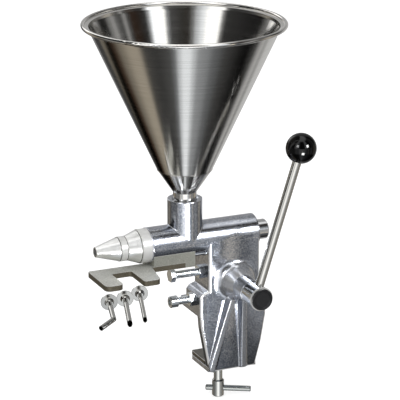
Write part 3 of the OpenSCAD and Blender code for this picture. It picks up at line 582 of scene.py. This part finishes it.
class DRESS_OT_hopper(bpy.types.Operator):
    """Finishes the hopper's sheet and lays the dressed weld between its two cones."""

    bl_idname = "filler.hopper"
    bl_label = "Hopper"

    def execute(self, context):
        dress(brushed_stainless(context.scene.filler_colours), "hopper_cone", "hopper_outlet")
        self.weld(context.scene.filler_sizes.weld_height)
        return {"FINISHED"}

    def weld(self, height):
        """A dressed bead round the knee, where the outlet's cone is welded to the hopper's."""
        knee = Vector((HOPPER_AXIS.x, HOPPER_AXIS.y, HOPPER_LOW.z))
        bead = 0.7 * MM
        bpy.ops.object.select_all(action="DESELECT")
        bpy.ops.mesh.primitive_torus_add(
            location=knee, major_segments=120, minor_segments=8,
            major_radius=KNEE_RADIUS + height - bead, minor_radius=bead)
        made = bpy.context.object
        made.name = "hopper_weld"
        bpy.ops.object.mode_set(mode="EDIT")
        bpy.ops.mesh.select_all(action="DESELECT")
        bpy.ops.object.mode_set(mode="OBJECT")
        for vertex in made.data.vertices:
            around_ring = math.atan2(vertex.co.y, vertex.co.x) / (2 * math.pi) * 120
            vertex.select = round(around_ring) % 2 == 0
        bpy.ops.object.mode_set(mode="EDIT")
        bpy.ops.transform.shrink_fatten(value=-0.12 * MM)
        bpy.ops.mesh.select_all(action="SELECT")
        bpy.ops.mesh.normals_make_consistent(inside=False)
        bpy.ops.object.mode_set(mode="OBJECT")
        settle(made, "hopper", plated_steel("dressed_stainless_weld", "#D2CFC9", 0.18))


class DRESS_OT_nozzle(bpy.types.Operator):
    """Finishes the nozzle's turned pieces and the gasket."""

    bl_idname = "filler.nozzle"
    bl_label = "Nozzle"

    def execute(self, context):
        colours = context.scene.filler_colours
        turned = turned_metal(
            "satin_turned_aluminium", BARREL_AXIS, (1.0, 0.0, 0.0), colours.turned, 0.36, 0.5, 0.4)
        self.bands(turned)
        dress(turned, "nozzle_cap", "nozzle_cone")
        dress(seal_rubber("white_food_rubber", "#CFCFCB"), "nozzle_gasket")
        return {"FINISHED"}

    def bands(self, material):
        """The grip bands stay as fine turning left them, and grease darkens the joints beside them."""
        tree = material.node_tree
        shader = tree.nodes["Principled BSDF"]
        along = put(tree, SEPARATE, {}, {0: put(tree, COORDINATES).outputs["Object"]}).outputs["X"]
        front, rear = (corner.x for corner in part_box("nozzle_cap"))
        collar, ring = rear - COLLAR_MM * MM, front + RING_MM * MM
        grip = self.inside(tree, along, ((collar, rear), (front, ring)))
        joint = self.inside(tree, along, [(at - JOINT_MM * MM, at) for at in (collar, ring, front)])
        metallic = put(tree, MAP_RANGE, {"To Min": 1.0, "To Max": 0.25}, {"Value": grip})
        tree.links.new(metallic.outputs["Result"], shader.inputs["Metallic"])
        dark = put(tree, MIX, {"data_type": "RGBA"}, {0: joint})
        dark.inputs[6].default_value = list(shader.inputs["Base Color"].default_value)
        dark.inputs[7].default_value = linear("#4A4946")
        tree.links.new(dark.outputs[2], shader.inputs["Base Color"])

    def inside(self, tree, along, stretches):
        """One within any of the stretches along the nozzle."""
        total = None
        for low, high in stretches:
            settings = {"operation": "COMPARE", 1: (low + high) / 2, 2: (high - low) / 2}
            here = put(tree, MATH, settings, {0: along}).outputs[0]
            if total is not None:
                here = put(tree, MATH, {"operation": "MAXIMUM"}, {0: total, 1: here}).outputs[0]
            total = here
        return total


class DRESS_OT_drive(bpy.types.Operator):
    """Finishes the piston, its seals, the shaft and the crank."""

    bl_idname = "filler.drive"
    bl_label = "Piston and crank"

    def execute(self, context):
        ground = turned_metal("ground_piston_steel", BARREL_AXIS, (1.0, 0.0, 0.0), "#DADADB", 0.12, 0.6)
        dress(ground, "piston")
        dress(seal_rubber("black_food_rubber", "#111112"), "piston_seal_front", "piston_seal_rear")
        dress(plated_steel("ground_shaft_steel", "#B9BABB", 0.25), "cross_shaft", "crank_arm", "crank_pin",
              "shaft_circlip")
        return {"FINISHED"}


class DRESS_OT_lever(bpy.types.Operator):
    """Finishes the lever's hub, rod, cap and knob."""

    bl_idname = "filler.lever"
    bl_label = "Lever"

    def execute(self, context):
        dress(plated_steel("bright_chrome", "#E3E5E8", 0.07), "lever_hub")
        ring = turned_metal("turned_ring_steel", SHAFT_AXIS, (0.0, 1.0, 0.0), "#F2F2F0", 0.3, 0.5, 0.4, 0.5)
        dress(ring, "hub_ring")
        dress(moulded_nylon(), "hub_cap")
        dress(plated_steel("polished_rod_steel", "#CFCDC8", 0.1), "lever_rod")
        dress(phenolic_ball(context.scene.filler_colours), "ball_knob")
        return {"FINISHED"}


class DRESS_OT_clamp(bpy.types.Operator):
    """Finishes the clamp screw and its tommy bar."""

    bl_idname = "filler.clamp"
    bl_label = "Clamp"

    def execute(self, context):
        turned = turned_metal("bright_turned_steel", SCREW_AXIS, (0.0, 0.0, 1.0), "#D3D3CF", 0.12, 0.5, 0.4)
        dress(turned, "clamp_screw", "pad_rivet")
        dress(plated_steel("drawn_bar_steel", "#C9CCC9", 0.22), "tommy_bar")
        return {"FINISHED"}


class DRESS_OT_tips(bpy.types.Operator):
    """Finishes the three loose filling tips."""

    bl_idname = "filler.tips"
    bl_label = "Loose tips"

    def execute(self, context):
        dress(plated_steel("polished_tip_stainless", "#C6C5C1", 0.11), "tip_bent", "tip_wide", "tip_fine")
        return {"FINISHED"}


# The studio that the metal shows, as (share of a full turn, brightness, tint). A turn starts beyond the
# object and goes round by its right-hand side. Soft boxes stand between black flags, and a warm wall is on
# the left.
COOL, PLAIN, TAN, RUST = (0.95, 0.99, 1.04), (1.0, 1.0, 1.0), (1.08, 0.96, 0.78), (1.4, 0.8, 0.5)
BELOW = [
    (0.000, 0.80, PLAIN), (0.035, 0.75, PLAIN), (0.060, 0.50, PLAIN), (0.085, 0.36, PLAIN),
    (0.100, 0.16, PLAIN), (0.118, 0.30, PLAIN), (0.134, 0.50, PLAIN), (0.152, 0.32, PLAIN),
    (0.166, 0.04, PLAIN), (0.205, 0.00, PLAIN), (0.235, 0.01, PLAIN), (0.262, 0.03, PLAIN),
    (0.296, 0.05, PLAIN), (0.343, 0.13, COOL), (0.393, 0.28, COOL), (0.425, 0.33, COOL),
    (0.448, 0.60, COOL), (0.475, 0.95, COOL), (0.505, 0.95, COOL), (0.528, 0.66, COOL),
    (0.553, 0.17, COOL), (0.580, 0.07, PLAIN), (0.640, 0.04, PLAIN), (0.697, 0.05, PLAIN),
    (0.718, 0.36, TAN), (0.755, 0.34, TAN), (0.790, 0.20, TAN), (0.828, 0.03, RUST),
    (0.845, 0.00, PLAIN), (0.920, 0.00, PLAIN), (0.955, 0.30, PLAIN), (1.000, 0.80, PLAIN),
]
LEVEL = [
    (0.000, 0.55, PLAIN), (0.100, 0.55, PLAIN), (0.150, 0.25, PLAIN), (0.200, 0.40, TAN),
    (0.254, 0.14, PLAIN), (0.285, 0.40, PLAIN), (0.305, 0.36, PLAIN), (0.322, 0.12, COOL),
    (0.336, 0.16, COOL), (0.343, 0.30, COOL), (0.347, 0.95, TAN), (0.353, 0.95, TAN),
    (0.358, 0.34, COOL), (0.390, 0.40, COOL), (0.424, 0.90, COOL), (0.455, 1.40, PLAIN),
    (0.500, 1.55, PLAIN), (0.538, 1.30, PLAIN), (0.562, 0.60, COOL), (0.616, 0.60, PLAIN),
    (0.640, 0.25, PLAIN), (0.660, 0.18, PLAIN), (0.750, 0.20, PLAIN), (0.813, 0.14, TAN),
    (0.842, 0.30, TAN), (0.858, 0.36, TAN), (0.872, 0.28, TAN), (0.900, 0.05, PLAIN),
    (0.930, 0.05, PLAIN), (0.955, 0.30, PLAIN), (1.000, 0.55, PLAIN),
]
ABOVE = [
    (0.000, 0.42, PLAIN), (0.090, 0.30, PLAIN), (0.143, 0.01, PLAIN), (0.165, 0.02, PLAIN),
    (0.186, 0.20, PLAIN), (0.205, 0.33, PLAIN), (0.224, 0.12, PLAIN), (0.242, 0.06, PLAIN),
    (0.259, 0.33, PLAIN), (0.272, 0.06, PLAIN), (0.290, 0.02, RUST), (0.345, 0.02, PLAIN),
    (0.358, 0.40, COOL), (0.370, 1.50, COOL), (0.417, 1.50, PLAIN), (0.430, 0.25, COOL),
    (0.447, 0.05, PLAIN), (0.515, 0.02, TAN), (0.532, 0.15, PLAIN), (0.552, 0.60, COOL),
    (0.575, 1.00, COOL), (0.598, 1.50, PLAIN), (0.641, 1.50, PLAIN), (0.652, 0.20, PLAIN),
    (0.668, 0.03, PLAIN), (0.815, 0.01, PLAIN), (0.840, 0.10, PLAIN), (0.862, 0.40, PLAIN),
    (0.885, 1.50, PLAIN), (0.925, 1.50, PLAIN), (0.945, 0.42, PLAIN), (1.000, 0.42, PLAIN),
]
OVERHEAD = 1.9

# How high each ring of the studio blends in over the one below it, as shares of the shell's radius
RINGS = ((LEVEL, -0.53, -0.45), (ABOVE, 0.12, 0.20), (None, 0.86, 0.95))


class DRESS_OT_stage(bpy.types.Operator):
    """Adds the floor, the studio, the lamps and the camera."""

    bl_idname = "filler.stage"
    bl_label = "Stage"

    def execute(self, context):
        self.camera(context)
        self.world(context)
        self.floor()
        self.studio()
        self.lamps(context)
        context.scene.view_settings.view_transform = "Standard"
        return {"FINISHED"}

    def camera(self, context):
        data = bpy.data.cameras.new("camera")
        data.lens = LENS_MM
        data.sensor_width = SENSOR_MM
        data.clip_end = 20.0
        made = bpy.data.objects.new("camera", data)
        context.collection.objects.link(made)
        made.location = CAMERA_AT
        made.rotation_mode = "QUATERNION"
        made.rotation_quaternion = (CAMERA_TO - CAMERA_AT).to_track_quat("-Z", "Y")
        context.scene.camera = made

    def seen(self, tree):
        """One for a ray that the camera, a mirror or glass sends, and zero for light on the object."""
        path = put(tree, "ShaderNodeLightPath").outputs
        pair = put(tree, MATH, {"operation": "MAXIMUM"},
                   {0: path["Is Camera Ray"], 1: path["Is Glossy Ray"]})
        return put(tree, MATH, {"operation": "MAXIMUM"},
                   {0: pair.outputs[0], 1: path["Is Transmission Ray"]}).outputs[0]

    def world(self, context):
        world = bpy.data.worlds.new("studio_white")
        context.scene.world = world
        world.use_nodes = True
        tree = world.node_tree
        back = tree.nodes["Background"]
        strength = put(tree, MAP_RANGE, {"To Min": WORLD_LIGHT, "To Max": 1.0},
                       {"Value": self.seen(tree)})
        back.inputs["Color"].default_value = grey(1.0)
        tree.links.new(strength.outputs["Result"], back.inputs["Strength"])

    def floor(self):
        bpy.ops.object.select_all(action="DESELECT")
        bpy.ops.mesh.primitive_plane_add(size=FLOOR_SIDE, location=(0.0, 0.0, FLOOR_Z - 0.5 * MM))
        made = bpy.context.object
        made.name = "floor"
        material, tree, shader = new_material(
            "white_paper_floor", {"Roughness": 0.9, "Base Color": grey(0.8)})
        glow = put(tree, EMISSION, {"Color": grey(FLOOR_GLOW)}, {"Strength": self.seen(tree)})
        mix = put(tree, "ShaderNodeAddShader", {}, {0: shader.outputs[0], 1: glow.outputs[0]})
        tree.links.new(mix.outputs[0], tree.nodes["Material Output"].inputs["Surface"])
        made.data.materials.append(material)
        made.visible_glossy = False

    def studio(self):
        """A shell far round the object, which only reflections see."""
        bpy.ops.object.select_all(action="DESELECT")
        bpy.ops.mesh.primitive_uv_sphere_add(segments=96, ring_count=48, radius=STUDIO_RADIUS)
        made = bpy.context.object
        made.name = "studio_panels"
        material = bpy.data.materials.new("soft_boxes_and_flags")
        material.use_nodes = True
        tree = material.node_tree
        tree.nodes.remove(tree.nodes["Principled BSDF"])
        place = put(tree, COORDINATES).outputs["Object"]
        parts = put(tree, SEPARATE, {}, {0: place})
        view = CAMERA_TO - CAMERA_AT
        heading = math.atan2(view.y, view.x)
        angle = put(tree, MATH, {"operation": "ARCTAN2"}, {0: parts.outputs["Y"], 1: parts.outputs["X"]})
        turned = put(tree, MATH, {"operation": "SUBTRACT", 0: heading}, {1: angle.outputs[0]})
        share = put(tree, MATH, {"operation": "DIVIDE", 1: 2 * math.pi}, {0: turned.outputs[0]})
        wrapped = put(tree, MATH, {"operation": "WRAP", 1: 1.0, 2: 0.0}, {0: share.outputs[0]}).outputs[0]
        rise = put(tree, MATH, {"operation": "DIVIDE", 1: STUDIO_RADIUS}, {0: parts.outputs["Z"]})
        height = rise.outputs[0]
        light = self.band(tree, wrapped, BELOW)
        for stops, low, high in RINGS:
            above = self.band(tree, wrapped, stops) if stops else None
            part = put(tree, MAP_RANGE, {"From Min": low, "From Max": high}, {"Value": height})
            blend = put(tree, MIX, {"data_type": "RGBA"})
            tree.links.new(part.outputs["Result"], blend.inputs[0])
            tree.links.new(light, blend.inputs[6])
            if above:
                tree.links.new(above, blend.inputs[7])
            else:
                blend.inputs[7].default_value = grey(OVERHEAD)
            light = blend.outputs[2]
        glow = put(tree, EMISSION, {"Strength": 1.0}, {"Color": light})
        tree.links.new(glow.outputs[0], tree.nodes["Material Output"].inputs["Surface"])
        made.data.materials.append(material)
        made.visible_camera = False
        made.visible_diffuse = False
        made.visible_shadow = False

    def band(self, tree, share, stops):
        colours = [(at, [value * part for part in tint] + [1.0]) for at, value, tint in stops]
        return ramp(tree, share, colours, "EASE")

    def lamps(self, context):
        """Two large boxes light the object and stay out of its reflections; small ones give the knob and
        the castings their glints and nothing else any light."""
        groups = {name: self.group(name, *nodes) for name, nodes in GLINTED.items()}
        for name, place, size, power, glinted in LAMPS:
            data = bpy.data.lights.new(name, "AREA")
            data.shape = "SQUARE"
            data.size = size
            data.energy = power
            made = bpy.data.objects.new(name, data)
            context.collection.objects.link(made)
            made.location = place
            made.rotation_mode = "QUATERNION"
            made.rotation_quaternion = (CAMERA_TO - Vector(place)).to_track_quat("-Z", "Y")
            made.visible_glossy = glinted is not None
            made.visible_diffuse = glinted is None
            if glinted:
                made.light_linking.receiver_collection = groups[glinted]

    def group(self, name, *nodes):
        """The pieces that a lamp lights."""
        made = bpy.data.collections.new(name)
        for node in nodes:
            made.objects.link(NODES[node])
        return made


class DRESS_PT_panel(bpy.types.Panel):
    """Lists the filler's operators."""

    bl_label = "Donut filler"
    bl_idname = "DRESS_PT_panel"
    bl_space_type = "VIEW_3D"
    bl_region_type = "UI"
    bl_category = "Filler"

    def draw(self, context):
        for operator in OPERATORS:
            self.layout.operator(operator.bl_idname)
        for group in (context.scene.filler_sizes, context.scene.filler_colours):
            for name in group.bl_rna.properties.keys():
                if name not in ("rna_type", "name"):
                    self.layout.prop(group, name)


OPERATORS = (
    DRESS_OT_casting,
    DRESS_OT_threads,
    DRESS_OT_hopper,
    DRESS_OT_nozzle,
    DRESS_OT_drive,
    DRESS_OT_lever,
    DRESS_OT_clamp,
    DRESS_OT_tips,
    DRESS_OT_stage,
)
CLASSES = (FillerSizes, FillerColours, *OPERATORS, DRESS_PT_panel)


def register():
    for made in CLASSES:
        bpy.utils.register_class(made)
    bpy.types.Scene.filler_sizes = bpy.props.PointerProperty(type=FillerSizes)
    bpy.types.Scene.filler_colours = bpy.props.PointerProperty(type=FillerColours)


def unregister():
    del bpy.types.Scene.filler_colours
    del bpy.types.Scene.filler_sizes
    for made in reversed(CLASSES):
        bpy.utils.unregister_class(made)


def main():
    """Runs every operator in order."""
    register()
    bpy.ops.filler.casting()
    bpy.ops.filler.threads()
    bpy.ops.filler.hopper()
    bpy.ops.filler.nozzle()
    bpy.ops.filler.drive()
    bpy.ops.filler.lever()
    bpy.ops.filler.clamp()
    bpy.ops.filler.tips()
    bpy.ops.filler.stage()


if __name__ == "__main__":
    main()
